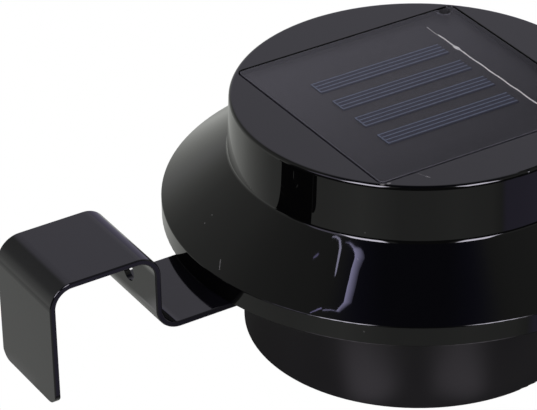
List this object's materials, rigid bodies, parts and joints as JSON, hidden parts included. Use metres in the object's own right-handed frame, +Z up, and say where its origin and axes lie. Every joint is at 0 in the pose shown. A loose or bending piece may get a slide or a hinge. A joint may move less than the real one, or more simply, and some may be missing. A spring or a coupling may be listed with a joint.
{
  "type": "solar gutter light",
  "caption": "Round solar lamp with a panel in its top and a lens below, on a bent steel strip that hooks over the lip of a gutter.",
  "frame": {"origin": "centre of the lamp's flat bottom, which it stands on", "axes": "+Z up along the lamp's axis, -X from the lamp along its bracket, +Y to make a right-handed frame"},
  "size_m": [0.1503, 0.11, 0.0556],
  "materials": {
    "black_abs_gloss": "high gloss moulded ABS",
    "black_abs_satin": "satin moulded ABS",
    "panel_board_black": "glass fibre board, black solder resist",
    "foam_tape": "closed-cell foam tape",
    "panel_resin": "satin cast epoxy",
    "silicon_cell": "dark blue silicon with fine printed fingers",
    "tinned_copper": "hot-dip tinned",
    "wire_red": "PVC insulation",
    "wire_black": "PVC insulation",
    "black_rubber": "moulded silicone rubber",
    "zinc_screw": "bright zinc plated",
    "clear_lens": "polished polycarbonate",
    "metallised_plastic": "vacuum metallised",
    "led_epoxy": "clear cast epoxy",
    "green_board": "glass fibre board, green solder resist",
    "chip_epoxy": "moulded epoxy",
    "ferrite": "sintered ferrite",
    "capacitor_sleeve": "shrunk sleeve",
    "holder_plastic": "moulded polypropylene",
    "cell_sleeve": "shrunk sleeve",
    "spring_steel": "nickel plated",
    "switch_plastic": "moulded nylon",
    "bracket_paint": "semi-gloss black powder coat"
  },
  "bodies": {
    "lamp": {"battery_cell": "cell_sleeve", "battery_contact_negative": "spring_steel", "battery_contact_positive": "spring_steel", "battery_holder": "holder_plastic", "battery_spring": "spring_steel", "board_screws": "zinc_screw", "boost_inductor": "ferrite", "bracket": "bracket_paint", "bracket_screws": "zinc_screw", "circuit_board": "green_board", "controller_chip": "chip_epoxy", "filter_capacitor": "capacitor_sleeve", "housing_screws": "zinc_screw", "housing_seal": "black_rubber", "led_1": "led_epoxy", "led_2": "led_epoxy", "led_3": "led_epoxy", "lens": "clear_lens", "lens_seal": "black_rubber", "lower_body": "black_abs_satin", "panel_board": "panel_board_black", "panel_pad": "foam_tape", "panel_resin": "panel_resin", "panel_ribbon": "tinned_copper", "panel_wire_black": "wire_black", "panel_wire_red": "wire_red", "reflector": "metallised_plastic", "solar_cell_1": "silicon_cell", "solar_cell_2": "silicon_cell", "solar_cell_3": "silicon_cell", "solar_cell_4": "silicon_cell", "switch_body": "switch_plastic", "switch_screws": "zinc_screw", "switch_wire_black": "wire_black", "switch_wire_red": "wire_red", "top_shell": "black_abs_gloss"},
    "switch_knob": {"switch_knob": "switch_plastic"}
  },
  "joints": [
    {"name": "switch_slide", "type": "slide", "parent": "lamp", "child": "switch_knob", "axis": [0, 1, 0], "range_m": [0, 0.0025]}
  ]
}
